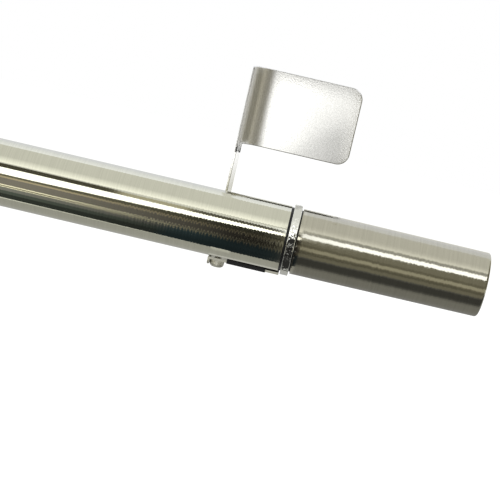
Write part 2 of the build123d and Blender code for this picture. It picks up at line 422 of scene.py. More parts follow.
def newTree(name, numbers, counts=(), entry=False):
    # gives the group, its makers of nodes and of links, and its input node
    tree = bpy.data.node_groups.new(name, "GeometryNodeTree")
    sockets = [("Geometry", "Geometry")] if entry else []
    sockets += [(socket, "Int") for socket in counts] + [(socket, "Float") for socket in numbers + placeNames]
    for socket, kind in sockets + [("Finish", "Material")]:
        tree.interface.new_socket(socket, in_out="INPUT", socket_type="NodeSocket" + kind)
    tree.interface.new_socket("Geometry", in_out="OUTPUT", socket_type="NodeSocketGeometry")
    return tree, tree.nodes.new, tree.links.new, tree.nodes.new("NodeGroupInput")


def closeTree(tree, put, shape):
    # the shape is put in its place, made real and given its finish
    make, link = tree.nodes.new, tree.links.new
    place, lay = make("ShaderNodeCombineXYZ"), make("GeometryNodeTransform")
    real, coat = make("GeometryNodeRealizeInstances"), make("GeometryNodeSetMaterial")
    for name, socket in zip(placeNames, place.inputs):
        link(put.outputs[name], socket)
    link(place.outputs["Vector"], lay.inputs["Translation"])
    link(put.outputs["Finish"], coat.inputs["Material"])
    for node in (lay, real, coat):
        link(shape, node.inputs["Geometry"])
        shape = node.outputs["Geometry"]
    link(shape, make("NodeGroupOutput").inputs["Geometry"])
    return lay


def growMesh(obj, tree, place, finish, values):
    # the group's inputs are set by their identifiers, and its result becomes a plain mesh
    mod = obj.modifiers.new("grow", "NODES")
    mod.node_group = tree
    values = {**values, **dict(zip(placeNames, place)), "Finish": finish}
    for item in tree.interface.items_tree:
        if item.in_out == "INPUT" and item.name in values:
            mod[item.identifier] = values[item.name]
    return plainMesh(obj)


# turned pieces: a profile of (along, radius) points swept round an axis
pathRadius = 1 * mm  # of the circle that a profile is swept along
weld = 1e-6


def turnedTree():
    tree, make, link, put = newTree("turnedPiece", ["Turn"], ["Segments"], True)
    profile = make("GeometryNodeMeshToCurve")
    path = make("GeometryNodeCurvePrimitiveCircle")
    setSockets(path, {"Radius": pathRadius})
    sweep = make("GeometryNodeCurveToMesh")
    merge = make("GeometryNodeMergeByDistance")
    setSockets(merge, {"Distance": weld})
    turn = make("ShaderNodeCombineXYZ")
    link(put.outputs["Geometry"], profile.inputs["Mesh"])
    link(put.outputs["Segments"], path.inputs["Resolution"])
    link(path.outputs["Curve"], sweep.inputs["Curve"])
    link(profile.outputs["Curve"], sweep.inputs["Profile Curve"])
    link(sweep.outputs["Mesh"], merge.inputs["Geometry"])
    link(put.outputs["Turn"], turn.inputs["Y"])
    lay = closeTree(tree, put, merge.outputs["Geometry"])
    link(turn.outputs["Vector"], lay.inputs["Rotation"])
    return tree


turnTree = turnedTree()


def turnedPiece(name, profile, finish, edge, segments=192, place=None):
    # a closed profile; place None means round the rod's axis, otherwise round an upright line there
    points = [(r - pathRadius, -along, 0) for along, r in profile]
    count = len(points)
    obj = meshObject(name, points, edges=[(i, (i + 1) % count) for i in range(count)])
    turn = 0.0 if place else math.radians(90)
    growMesh(obj, turnTree, place or (0.0, axisY, axisZ), finish, {"Segments": segments, "Turn": turn})
    cleanMesh(obj, weld)
    smoothByAngle(obj)
    return softenEdges(obj, edge, angle=35) if edge else obj


def cylinderCutter(x, lowZ, highZ, radius, steps=48):
    ring = [(math.cos(2 * math.pi * i / steps), math.sin(2 * math.pi * i / steps)) for i in range(steps)]
    points = [(x + radius * c, axisY + radius * s, z) for z in (lowZ, highZ) for c, s in ring]
    faces = [[i, (i + 1) % steps, steps + (i + 1) % steps, steps + i] for i in range(steps)]
    faces += [list(range(steps))[::-1], list(range(steps, 2 * steps))]
    return meshObject("cutter", points, faces)


def middleX(node):
    low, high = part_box(node)
    return (low[0] + high[0]) / 2


tubeSet = {"wall": 0.7 * mm, "edge": 0.15 * mm, "nutHole": 2.05 * mm, "ringGap": 5 * mm, "endRing": 4 * mm}


def makeTube(side, s):
    node = sides[side]["tube"]
    low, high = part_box(node)
    radius = (high[1] - low[1]) / 2
    bore = radius - s["wall"]
    hole = middleX(side + "_press_nut")
    stations = sorted([low[0], low[0] + s["endRing"], hole - s["ringGap"], hole + s["ringGap"],
                       high[0] - s["endRing"], high[0]])
    profile = [(x, radius) for x in stations] + [(x, bore) for x in reversed(stations)]
    obj = turnedPiece(node + "Skin", profile, brushedTube, 0)
    cutAway(obj, cylinderCutter(hole, axisZ - 2 * radius, axisZ, s["nutHole"]))
    smoothByAngle(obj)
    softenEdges(obj, s["edge"], angle=35)
    standFor(obj, node)


for side in sides:
    makeTube(side, tubeSet)
print("tubes turned")

collarSet = {"edge": 0.22 * mm, "bore": 11.87 * mm}
capSet = {"edge": 0.9 * mm, "wall": 0.8 * mm, "endWall": 1.0 * mm, "mouthRadius": 12.625 * mm,
          "endRadius": 12.35 * mm, "mouthEdge": 0.1 * mm, "ring": 2 * mm, "ringDrop": 0.007 * mm}


def arc(along, across, radius, start, stop, steps):
    turns = [math.radians(start + (stop - start) * i / steps) for i in range(steps + 1)]
    return [(along + radius * math.cos(a), across + radius * math.sin(a)) for a in turns]


def makeCollar(side, s):
    low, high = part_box(side + "_collar")
    radius = (high[1] - low[1]) / 2
    profile = [(low[0], radius), (high[0], radius), (high[0], s["bore"]), (low[0], s["bore"])]
    standFor(turnedPiece(side + "CollarRing", profile, chromeCollar, s["edge"]), side + "_collar")


def makeCap(side, s):
    low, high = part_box(side + "_end_cap")
    length = high[0] - low[0]
    mouth, end, wall, r, m = s["mouthRadius"], s["endRadius"], s["wall"], s["edge"], s["mouthEdge"]
    ring, drop = s["ring"], s["ringDrop"]
    outside = arc(m, mouth - m, m, 180, 90, 3) + [(ring, mouth - drop), (length / 2, (mouth + end) / 2)]
    outside += [(length - ring, end + drop)] + arc(length - r, end - r, r, 90, 0, 8)
    outside += [(length, end - ring), (length, 0)]
    inside = [(length - s["endWall"], 0), (length - s["endWall"], end - wall), (0, mouth - wall)]
    profile = [((high[0] - x) if side == "left" else (low[0] + x), across) for x, across in outside + inside]
    standFor(turnedPiece(side + "CapShell", profile, satinCap, 0), side + "_end_cap")


for side in sides:
    makeCollar(side, collarSet)
    makeCap(side, capSet)
print("collars and caps turned")

ferruleSet = {"lip": 1.18 * mm, "bore": 11.15 * mm, "neck": 11.98 * mm, "edge": 0.25 * mm}


def makeFerrule(s):
    low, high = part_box("mouth_ferrule")
    radius = (high[1] - low[1]) / 2
    lipEnd = low[0] + s["lip"]
    profile = [(low[0], radius), (lipEnd, radius), (lipEnd, s["neck"]), (high[0], s["neck"]), (high[0], s["bore"]),
               (low[0], s["bore"])]
    standFor(turnedPiece("mouthFerruleRing", profile, blackNylon, s["edge"]), "mouth_ferrule")


makeFerrule(ferruleSet)

# sheet-metal brackets: a flat blank with thickness, folded at the bend, and the saddle drawn out of its hook
bracketSet = {
    "sheet": 0.9 * mm,
    "bendRadius": 8.5 * mm,
    "bendSteps": 28,
    "flagHeight": 32.5 * mm,
    "flagCorner": 5 * mm,
    "armFront": 15 * mm,  # behind the rod's axis
    "armBackGap": 1.2 * mm,
    "armBackBottom": 7 * mm,
    "hookHeel": 20 * mm,
    "hookRadius": 16 * mm,
    "armTopRound": 1.5 * mm,
    "armBackRound": 14 * mm,
    "hookHeelRound": 12 * mm,
    "lipRound": 1.2 * mm,
    "lipAngle": 10,
    "saddleInner": 13.2 * mm,
    "saddleInset": 0.02 * mm,
    "saddlePast": 0.6 * mm,  # past the tube's end
    "saddleBack": 90,
    "saddleSteps": 48,
    "hookSteps": 30,
    "cornerSteps": 14,
    "saddleHole": 1.45 * mm,
    "edge": 0.42 * mm,
    "edgeSteps": 5,
    "saddleEdge": 0.18 * mm,
    "saddleEdgeSteps": 3,
}


def belowAxis(radius, angle):
    # the angle is counted forward from the lowest line; the point is (behind, above) the axis
    a = math.radians(angle)
    return (-radius * math.sin(a), -radius * math.cos(a))


def roundCorner(before, corner, after, radius, steps=8):
    p, a, b = Vector(corner), Vector(before), Vector(after)
    u, v = (a - p).normalized(), (b - p).normalized()
    half = u.angle(v) / 2
    reach = radius / math.tan(half)
    centre = p + (u + v).normalized() * (radius / math.sin(half))
    start, stop = p + u * reach - centre, p + v * reach - centre
    turn = start.angle_signed(stop)
    points = []
    for i in range(steps + 1):
        a = -turn * i / steps
        points.append((centre.x + start.x * math.cos(a) - start.y * math.sin(a),
                       centre.y + start.x * math.sin(a) + start.y * math.cos(a)))
    return points


def bracketBlank(s, bendStart, low, high):
    # corners of the arm and hook, as (behind, above) the axis, with the radius of each rounded one
    back = bendStart - s["armBackGap"]
    middle = s["saddleInner"] + s["sheet"] / 2
    lipOut = belowAxis(s["hookRadius"], s["lipAngle"])
    corners = [
        ((middle, 0), 0), ((s["armFront"], 0), 0), ((s["armFront"], high), s["armTopRound"]),
        ((bendStart, high), 0), ((bendStart, low), 0), ((back, low), 0),
        ((back, s["armBackBottom"]), s["armBackRound"]), ((s["hookHeel"], -s["hookRadius"]), s["hookHeelRound"]),
        ((0, -s["hookRadius"]), 0), (lipOut, s["lipRound"]),
    ]
    sweep, steps = s["lipAngle"] + s["saddleBack"], s["hookSteps"]
    corners += [(belowAxis(middle, s["lipAngle"] - sweep * i / steps), 0) for i in range(steps)]
    points = []
    for i, (point, radius) in enumerate(corners):
        if radius:
            points += roundCorner(corners[i - 1][0], point, corners[(i + 1) % len(corners)][0], radius)
        else:
            points.append(point)
    return points


def makeBracket(side, s):
    low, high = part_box(side + "_bracket_plate")
    sign = sides[side]["sign"]
    armX = low[0] if side == "right" else high[0]
    width = high[0] - low[0]
    bend, sheet, rows = s["bendRadius"], s["sheet"], s["bendSteps"]
    wallY = high[1] - axisY  # back of the wall plate, behind the axis
    bendStart = wallY - sheet - bend
    flagHigh = high[2] - axisZ
    flagLow = flagHigh - s["flagHeight"]
    bendRun = (bend + sheet / 2) * math.pi / 2
    flagRun = width - bend - sheet
    blank = bracketBlank(s, bendStart, flagLow, flagHigh)
    top, bottom = blank.index((bendStart, flagHigh)), blank.index((bendStart, flagLow))
    flat = list(blank)
    topRow, bottomRow = [top], [bottom]
    for i in range(1, rows + 1):
        run = bendStart + bendRun * i / rows
        topRow.append(len(flat))
        flat.append((run, flagHigh))
        bottomRow.append(len(flat))
        flat.append((run, flagLow))
    start, end = bendStart + bendRun, bendStart + bendRun + flagRun
    free = roundCorner((start, flagHigh), (end, flagHigh), (end, flagLow), s["flagCorner"], s["cornerSteps"])
    free += roundCorner((end, flagHigh), (end, flagLow), (start, flagLow), s["flagCorner"], s["cornerSteps"])
    first = len(flat)
    flat += free
    freeRow = list(range(first, first + len(free)))
    loops = [list(range(len(blank)))]
    loops += [[topRow[i], topRow[i + 1], bottomRow[i + 1], bottomRow[i]] for i in range(rows)]
    loops.append([topRow[-1]] + freeRow + [bottomRow[-1]])
    rim = list(range(top + 1)) + topRow[1:] + freeRow + bottomRow[:0:-1] + list(range(bottom, len(blank)))

    def fold(run, deep, up):
        # deep 0 is the outside of the bend, deep = sheet the inside
        if run <= bendStart:
            x, y = deep, run
        elif run < start:
            a = (run - bendStart) / bendRun * math.pi / 2
            reach = bend + sheet - deep
            x, y = sheet + bend - reach * math.cos(a), bendStart + reach * math.sin(a)
        else:
            x, y = sheet + bend + run - start, wallY - deep
        return (armX + sign * x, axisY + y, axisZ + up)

    count = len(flat)
    points = [fold(run, deep, up) for deep in (0, sheet) for run, up in flat]
    faces = loops + [[i + count for i in reversed(loop)] for loop in loops]
    faces += [[rim[i], rim[i - 1], rim[i - 1] + count, rim[i] + count] for i in range(len(rim))]
    obj = meshObject(side + "BracketSheet", points, faces, [satinSheet])
    cleanMesh(obj)
    smoothByAngle(obj)
    softenEdges(obj, s["edge"], s["edgeSteps"])
    joinMeshes(obj, makeSaddle(side, s, armX))
    standFor(obj, side + "_bracket_plate")


def makeSaddle(side, s, armX):
    # a length of gutter round the rod's axis, with the screw's hole
    sign, tubeEnd = sides[side]["sign"], sides[side]["tubeEnd"]
    start, end = armX + sign * s["saddleInset"], tubeEnd + sign * s["saddlePast"]
    inner, outer, steps = s["saddleInner"], s["saddleInner"] + s["sheet"], s["saddleSteps"]
    points = []
    for i in range(steps + 1):
        angle = s["lipAngle"] - (s["lipAngle"] + s["saddleBack"]) * i / steps
        for x, radius in ((start, inner), (end, inner), (end, outer), (start, outer)):
            y, z = belowAxis(radius, angle)
            points.append((x, axisY + y, axisZ + z))
    faces = [[4 * i + k, 4 * i + (k + 1) % 4, 4 * i + 4 + (k + 1) % 4, 4 * i + 4 + k]
             for i in range(steps) for k in range(4)]
    faces += [[3, 2, 1, 0], [4 * steps + k for k in range(4)]]
    obj = meshObject(side + "Saddle", points, faces, [satinSheet])
    cleanMesh(obj)
    hole = middleX(side + "_clamp_screw")
    cutAway(obj, cylinderCutter(hole, axisZ - 2 * inner, axisZ, s["saddleHole"]))
    smoothByAngle(obj)
    return softenEdges(obj, s["saddleEdge"], s["saddleEdgeSteps"])


def joinMeshes(obj, other):
    work = bmesh.new()
    work.from_mesh(obj.data)
    work.from_mesh(other.data)
    bpy.data.objects.remove(other)
    work.to_mesh(obj.data)
    work.free()


for side in sides:
    makeBracket(side, bracketSet)
print("brackets folded")


# rubber strips in the saddles, folded over the front lip; their near-black is partly painted shade, standing in for
# the dark gap under the rod
linerSet = {"clear": 0.15 * mm, "skin": 0.25 * mm, "gap": 0.02 * mm, "backAngle": 75, "foldBack": 20,
            "longSteps": 48, "foldSteps": 20, "edge": 0.09 * mm}


def extruded(name, outline, place, finish):
    # place turns (across, up, end 0 or 1) into a point
    count = len(outline)
    points = [place(a, b, end) for end in (0, 1) for a, b in outline]
    faces = [list(range(count)), [count + i for i in reversed(range(count))]]
    faces += [[(i + 1) % count, i, i + count, (i + 1) % count + count] for i in range(count)]
    obj = meshObject(name, points, faces, [finish])
    cleanMesh(obj)
    smoothByAngle(obj)
    return obj


def makeLiner(side, s, b):
    low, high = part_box(side + "_saddle_liner")
    inner = tubeRadius(side) + s["clear"]
    outer = b["saddleInner"] + b["sheet"] + s["gap"]
    lip = b["lipAngle"] + math.degrees(s["gap"] / outer)
    fold = lip + math.degrees(2 * s["skin"] / outer)

    def bow(radius, start, stop, steps):
        return [belowAxis(radius, start + (stop - start) * i / steps) for i in range(steps + 1)]

    long, short = s["longSteps"], s["foldSteps"]
    outline = bow(inner, -s["backAngle"], fold, long) + bow(outer + s["skin"], fold, -s["foldBack"], short)
    outline += bow(outer, -s["foldBack"], lip, short) + bow(b["saddleInner"] - s["gap"], lip, -s["backAngle"], long)
    obj = extruded(side + "LinerStrip", outline,
                   lambda y, z, end: ((low[0], high[0])[end], axisY + y, axisZ + z), shadeBlackRubber)
    softenEdges(obj, s["edge"])
    standFor(obj, side + "_saddle_liner")


def tubeRadius(side):
    low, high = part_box(sides[side]["tube"])
    return max(high[1] - axisY, axisZ - low[2])


# foam pads behind the wall plates
padSet = {"corner": 3.8 * mm, "cornerSteps": 12, "edge": 0.12 * mm}


def makePad(side, s):
    low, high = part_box(side + "_adhesive_pad")
    box = [(low[0], low[2]), (high[0], low[2]), (high[0], high[2]), (low[0], high[2])]
    outline = []
    for i, corner in enumerate(box):
        outline += roundCorner(box[i - 1], corner, box[(i + 1) % 4], s["corner"], s["cornerSteps"])
    obj = extruded(side + "FoamPad", outline, lambda x, z, end: (x, (low[1], high[1])[end], z), foamTape)
    softenEdges(obj, s["edge"])
    standFor(obj, side + "_adhesive_pad")


for side in sides:
    makeLiner(side, linerSet, bracketSet)
    makePad(side, padSet)
print("liners and pads made")

# clamp screws: turned pan head and shank, a cross recess and a spiral thread
screwSet = {"headHeight": 2.0 * mm, "headRound": 1.5 * mm, "core": 0.98 * mm, "thread": 1.2 * mm, "ridge": 0.15 * mm,
            "pitch": 0.45 * mm, "tip": 0.4 * mm, "tipTaper": 0.32 * mm, "recessOut": (1.625 * mm, 0.42 * mm),
            "recessIn": (0.78 * mm, 0.28 * mm), "depth": 1.1 * mm, "edge": 0.06 * mm, "segments": 64,
            "turnSteps": 40, "ridgeSteps": 8}


def threadTree():
    tree, make, link, put = newTree("screwThread", ["Turns", "Height", "Radius", "Ridge"])
    path = make("GeometryNodeCurveSpiral")
    setSockets(path, {"Resolution": screwSet["turnSteps"]})
    section = make("GeometryNodeCurvePrimitiveCircle")
    setSockets(section, {"Resolution": screwSet["ridgeSteps"]})
    sweep = make("GeometryNodeCurveToMesh")
    setSockets(sweep, {"Fill Caps": True})
    link(put.outputs["Turns"], path.inputs["Rotations"])
    link(put.outputs["Height"], path.inputs["Height"])
    link(put.outputs["Radius"], path.inputs["Start Radius"])
    link(put.outputs["Radius"], path.inputs["End Radius"])
    link(put.outputs["Ridge"], section.inputs["Radius"])
    link(path.outputs["Curve"], sweep.inputs["Curve"])
    link(section.outputs["Curve"], sweep.inputs["Profile Curve"])
    closeTree(tree, put, sweep.outputs["Mesh"])
    return tree


spiralTree = threadTree()


def crossCutter(x, z, s):
    # twelve-cornered star, narrowing upwards into the head
    def star(reach, half):
        quarter = [(reach, -half), (reach, half), (half, half)]
        corners = []
        for _ in range(4):
            corners += quarter
            quarter = [(-b, a) for a, b in quarter]
        return corners
    points = [(x + a, axisY + b, z - s["depth"]) for a, b in star(*s["recessOut"])]
    points += [(x + a, axisY + b, z + s["depth"]) for a, b in star(*s["recessIn"])]
    faces = [[i, (i + 1) % 12, 12 + (i + 1) % 12, 12 + i] for i in range(12)]
    faces += [list(range(12))[::-1], list(range(12, 24))]
    return meshObject("cutter", points, faces)


def makeScrew(side, s):
    node = side + "_clamp_screw"
    low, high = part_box(node)
    x, radius, seat = middleX(node), (high[0] - low[0]) / 2, low[2] + s["headHeight"]
    r = s["headRound"]
    profile = [(low[2], 0)] + arc(low[2] + r, radius - r, r, 180, 90, 8)
    profile += [(seat, radius), (seat, s["core"]), (high[2] - s["tip"], s["core"]),
                (high[2], s["core"] - s["tipTaper"]), (high[2], 0)]
    obj = turnedPiece(side + "PanScrew", profile, platedScrew, 0, s["segments"], (x, axisY, 0.0))
    cutAway(obj, crossCutter(x, low[2], s))
    smoothByAngle(obj)
    softenEdges(obj, s["edge"])
    height = high[2] - s["tip"] - s["ridge"] - seat
    thread = growMesh(meshObject(side + "Thread"), spiralTree, (x, axisY, seat), platedScrew, {
        "Turns": height / s["pitch"], "Height": height, "Radius": s["thread"] - s["ridge"], "Ridge": s["ridge"]})
    cleanMesh(thread)
    smoothByAngle(thread, 60)
    joinMeshes(obj, thread)
    standFor(obj, node)


# nylon plugs: turned bodies with ribs set round the spigot
plugSet = {"inTube": 17 * mm, "wall": 2.4 * mm, "bore": 0.7 * mm, "running": 0.05 * mm, "ribHigh": 0.35 * mm,
           "ribWide": 1.6 * mm, "ribLead": 2 * mm, "ribs": 6, "flange": 12.25 * mm, "neck": 11.85 * mm,
           "collarStart": 0.93 * mm, "capStart": 4.48 * mm, "seat": 11.8 * mm, "seatEnd": 11.71 * mm,
           "end": 28.5 * mm, "edge": 0.2 * mm, "ribEdge": 0.12 * mm, "ribStart": 30, "clear": 0.02 * mm,
           "segments": 128}


def ribTree():
    tree, make, link, put = newTree("spigotRibs", ["Radius", "Rib Length", "Rib Width", "Rib Height"], ["Count"])
    ring = make("GeometryNodeMeshCircle")
    rib = make("GeometryNodeMeshCube")
    size = make("ShaderNodeCombineXYZ")
    where = make("GeometryNodeInputPosition")
    aim = make("FunctionNodeAlignRotationToVector")
    aim.axis = "X"
    scatter = make("GeometryNodeInstanceOnPoints")
    spin = make("GeometryNodeTransform")
    setSockets(spin, {"Rotation": (0, 0, math.radians(plugSet["ribStart"]))})
    link(put.outputs["Count"], ring.inputs["Vertices"])
    link(put.outputs["Radius"], ring.inputs["Radius"])
    link(put.outputs["Rib Height"], size.inputs["X"])
    link(put.outputs["Rib Width"], size.inputs["Y"])
    link(put.outputs["Rib Length"], size.inputs["Z"])
    link(size.outputs["Vector"], rib.inputs["Size"])
    link(where.outputs["Position"], aim.inputs["Vector"])
    link(ring.outputs["Mesh"], scatter.inputs["Points"])
    link(rib.outputs["Mesh"], scatter.inputs["Instance"])
    link(aim.outputs["Rotation"], scatter.inputs["Rotation"])
    link(scatter.outputs["Instances"], spin.inputs["Geometry"])
    lay = closeTree(tree, put, spin.outputs["Geometry"])
    setSockets(lay, {"Rotation": (0, math.radians(90), 0)})
    return tree


spigotTree = ribTree()


def makePlug(side, s):
    sign, tubeEnd = sides[side]["sign"], sides[side]["tubeEnd"]
    bore = tubeRadius(side) - s["bore"]
    spigot = bore - s["running"] - s["ribHigh"]
    hollow = spigot - s["wall"]
    steps = [(-s["inTube"], hollow), (-s["inTube"], spigot), (s["clear"], spigot), (s["clear"], s["flange"]),
             (s["collarStart"], s["flange"]), (s["collarStart"], s["neck"]), (s["capStart"], s["neck"]),
             (s["capStart"], s["seat"]), (s["end"], s["seatEnd"]), (s["end"], 0), (s["end"] - s["wall"], 0),
             (s["end"] - s["wall"], hollow)]
    profile = [(tubeEnd + sign * x, r) for x, r in steps]
    obj = turnedPiece(side + "NylonPlug", profile, blackNylon, s["edge"], s["segments"])
    length = s["inTube"] - s["ribLead"]
    middle = (tubeEnd - sign * length / 2, axisY, axisZ)
    ribs = growMesh(meshObject(side + "Ribs"), spigotTree, middle, blackNylon, {
        "Count": s["ribs"], "Radius": spigot, "Rib Length": length, "Rib Width": s["ribWide"],
        "Rib Height": 2 * s["ribHigh"]})
    cleanMesh(ribs)
    softenEdges(ribs, s["ribEdge"])
    joinMeshes(obj, ribs)
    standFor(obj, side + "_cap_plug")


for side in sides:
    makeScrew(side, screwSet)
    makePlug(side, plugSet)
print("screws and plugs made")


# camera
cameraSet = {
    "distance": 531.6 * mm,
    "elevation": 7.0,
    "eyeX": 1.9 * mm,  # from the tube's end
    "aimX": -12.0 * mm,
    "aimZ": -7.33 * mm,
    "roll": 13.0,
    "lens": 100.8,
    "sensor": 36,
    "clip": 10 * mm,
}


def lookAt(eye, aim):
    turn = (Vector(aim) - Vector(eye)).to_track_quat("-Z", "Y")
    return Matrix.Translation(eye) @ turn.to_matrix().to_4x4()


def makeCamera(s):
    tilt = math.radians(s["elevation"])
    away, up = s["distance"] * math.cos(tilt), s["distance"] * math.sin(tilt)
    eye = (rightEnd + s["eyeX"], axisY - away, axisZ + up)
    aim = (rightEnd + s["aimX"], axisY, axisZ + s["aimZ"])
    data = bpy.data.cameras.new("photoCamera")
    data.lens = s["lens"]
    data.sensor_width = s["sensor"]
    data.clip_start = s["clip"]
    cam = newObject("photoCamera", data)
    cam.matrix_world = lookAt(eye, aim) @ Matrix.Rotation(math.radians(s["roll"]), 4, "Z")
    bpy.context.scene.camera = cam


makeCamera(cameraSet)

# studio: white world, pale floor, cards that only the metal sees
studioSet = {
    "floorDrop": 200 * mm,  # below the rod's axis
    "floorSize": 8.0,
    "floorColour": (0.8, 0.8, 0.79),
    "floorRough": 0.9,
    "floorGlow": 0.42,
    "worldLight": 0.8,
}


def makeWorld(s):
    world = bpy.data.worlds.new("studio")
    bpy.context.scene.world = world
    world.use_nodes = True
    tree = world.node_tree
    back = tree.nodes["Background"]
    setSockets(back, {"Color": (1, 1, 1, 1)})
    path = tree.nodes.new("ShaderNodeLightPath")
    level = tree.nodes.new("ShaderNodeMapRange")
    setSockets(level, {"To Min": s["worldLight"], "To Max": 1})
    seen = mathNode(tree, "MAXIMUM", path.outputs["Is Camera Ray"], path.outputs["Is Glossy Ray"])
    tree.links.new(mathNode(tree, "MAXIMUM", seen, path.outputs["Is Transmission Ray"]), level.inputs["Value"])
    tree.links.new(level.outputs["Result"], back.inputs["Strength"])


def makeFloor(s):
    half = s["floorSize"] / 2
    z = axisZ - s["floorDrop"]
    mat, shader = newMaterial("paleFloor", s["floorColour"], 0, s["floorRough"])
    setSockets(shader, {"Specular IOR Level": 0, "Emission Color": (1, 1, 1, 1),
                        "Emission Strength": s["floorGlow"]})
    points = [(-half, -half, z), (half, -half, z), (half, half, z), (-half, half, z)]
    floor = meshObject("floor", points, [(0, 1, 2, 3)], [mat])


def glowCard(name, rows, colour, back=None):
    # only reflections see it; rows are (lower corner, upper corner, lower strength, upper strength),
    # and back is the strength of its other side
    mat = bpy.data.materials.new(name)
    mat.use_nodes = True
    tree = mat.node_tree
    tree.nodes.clear()
    make, link = tree.nodes.new, tree.links.new
    glow, out = make("ShaderNodeEmission"), make("ShaderNodeOutputMaterial")
    setSockets(glow, {"Color": (*colour, 1)})
    level = make("ShaderNodeAttribute")
    level.attribute_name = "level"
    power = level.outputs["Fac"]
    if back:
        side, pick = make("ShaderNodeNewGeometry"), make("ShaderNodeMix")
        setSockets(pick, {"B": back})
        link(side.outputs["Backfacing"], pick.inputs["Factor"])
        link(power, pick.inputs["A"])
        power = pick.outputs["Result"]
    link(power, glow.inputs["Strength"])
    link(glow.outputs[0], out.inputs["Surface"])
    points = [corner for row in rows for corner in row[:2]]
    faces = [(2 * i, 2 * i + 2, 2 * i + 3, 2 * i + 1) for i in range(len(rows) - 1)]
    card = meshObject(name, points, faces, [mat])
    levels = card.data.attributes.new("level", "FLOAT", "POINT")
    levels.data.foreach_set("value", [strength for row in rows for strength in row[2:]])
    card.visible_camera = False
    card.visible_diffuse = False
    card.visible_shadow = False
    card.visible_transmission = False


bandSet = {"reach": 300 * mm, "lowFrom": -20, "lowReach": 140 * mm, "leastSine": 0.467}


def bandReach(angle, s):
    # the cards below come closer, so that they stay above the floor
    if angle > s["lowFrom"]:
        return s["reach"]
    return s["lowReach"] / max(s["leastSine"], math.sin(math.radians(-angle)))


def longCard(name, stations, colour, far=None):
    # stations along the rod are (x, low angle, high angle, low strength, high strength);
    # the angles go up from the horizon in front
    def place(x, angle):
        reach = far or bandReach(angle, bandSet)
        a = math.radians(angle)
        return (x, axisY - reach * math.cos(a), axisZ + reach * math.sin(a))
    glowCard(name, [(place(x, low), place(x, high), start, end) for x, low, high, start, end in stations], colour)


makeWorld(studioSet)
makeFloor(studioSet)
white, warm, mauve, olive = (1, 1, 1), (1, 0.95, 0.78), (1, 0.93, 0.88), (1, 0.94, 0.74)
pale, copper, mist, cool = (0.88, 0.9, 1), (1, 0.86, 0.64), (0.86, 1, 0.95), (0.5, 0.8, 1)
leftX, rightX, stripX = -0.9, 0.5, -0.75
fadeStart, coolX, fadeEnd = -150 * mm, -60 * mm, -26 * mm  # the bands lose their light towards the right
fastFade, fastBelow, coolBelow = 0.55, -31, -39  # the lower ones sooner, and the lowest turn cool
capFar, capFarAbove = 600 * mm, 20
# bands the rod mirrors below its bright strip: low and high angle, strength at the left and at the right
rodBands = [
    (-64, -52, 0.17, 0.035, mist),
    (-52, -40, 0.36, 0.03, white),
    (-40, -37.8, 1.8, 0.05, warm),
    (-37.8, -34.6, 0.15, 0.03, warm),
    (-34.6, -31.5, 1.95, 0.08, warm),
    (-31.5, -9, 0.36, 0.018, mauve),
    (-9, -4, 0.75, 0.09, copper),
    (-4, 14, 0.24, 0.03, olive),
]
# bands the cap mirrors: low and high angle, strength at each
capBands = [
    (-165, -82.5, 0.33, 0.33, white),
    (-82.5, -75.5, 0.27, 0.27, white),
    (-75.5, -69, 0.13, 0.13, white),
    (-69, -46, 0.083, 0.083, white),
    (-46, -41.5, 0.15, 0.15, white),
    (-41.5, -30, 0.29, 0.29, warm),
    (-30, -22, 0.19, 0.19, olive),
    (-22, -18, 0.26, 0.26, olive),
    (-18, -7, 0.62, 0.62, warm),
    (-7, 2, 0.25, 0.25, olive),
    (2, 23, 0.34, 0.34, warm),
    (23, 36.5, 3.2, 3.2, pale),
    (37.5, 47.5, 0.6, 0.6, white),
    (48.5, 58, 1.5, 1.3, white),
    (58, 70, 1.2, 1, white),
    (116, 152, 1.35, 1.2, pale),
]
share = (coolX - fadeStart) / (fadeEnd - fadeStart)
for i, (low, high, start, end, colour) in enumerate(rodBands):
    mid = start + (end - start) * share ** (fastFade if high < fastBelow else 1)
    longCard("rodBand" + str(i), [(x, low, high, glow, glow)
                                  for x, glow in ((leftX, start), (fadeStart, start), (coolX, mid))], colour)
    longCard("rodEnd" + str(i), [(x, low, high, glow, glow)
                                 for x, glow in ((coolX, mid), (fadeEnd, end), (rightEnd, end))],
             cool if high < coolBelow else colour)
for i, (low, high, start, end, colour) in enumerate(capBands):
    longCard("capBand" + str(i), [(x, low, high, start, end) for x in (rightEnd, rightX)], colour,
             capFar if low > capFarAbove else None)
# the lowest bands, whose border drops towards the right
longCard("underBand", [(leftX, -165, -81.5, 0.56, 0.56), (rightEnd, -165, -86, 0.53, 0.53)], white)
longCard("duskBand", [(x, low, -64, glow, glow) for x, low, glow in ((leftX, -81.5, 0.075), (fadeStart, -81.5, 0.07),
                                                                      (coolX, -84.8, 0.034))], mist)
longCard("duskEnd", [(x, low, -64, glow, glow) for x, low, glow in ((coolX, -84.8, 0.042), (fadeEnd, -86, 0.03),
                                                                     (rightEnd, -86, 0.03))], cool)
# strips close to the rod, which the wall plate mirrors too; the dark line above the bright strip is faint midway
near = 90 * mm
longCard("strip", [(stripX, 3, 23, 3, 3), (-111 * mm, 3, 23, 3, 3), (rightEnd, 14, 21.5, 3, 3)], white, near)
longCard("darkLine", [(stripX, 23.5, 36, 0.1, 0.1), (-76 * mm, 23.5, 36, 0.1, 0.1), (-72 * mm, 24, 33, 0.65, 0.65),
                      (-44 * mm, 24, 33, 0.65, 0.65), (-40 * mm, 23, 32, 0.13, 0.13),
                      (rightEnd, 22, 30, 0.13, 0.13)], olive, near)
longCard("brightLine", [(x, 39, 62, 1.8, 1) for x in (stripX, rightEnd)], white, near)
longCard("topLine", [(x, 114, 165, 1.65, 0.95) for x in (stripX, rightEnd)], pale, bandSet["reach"])


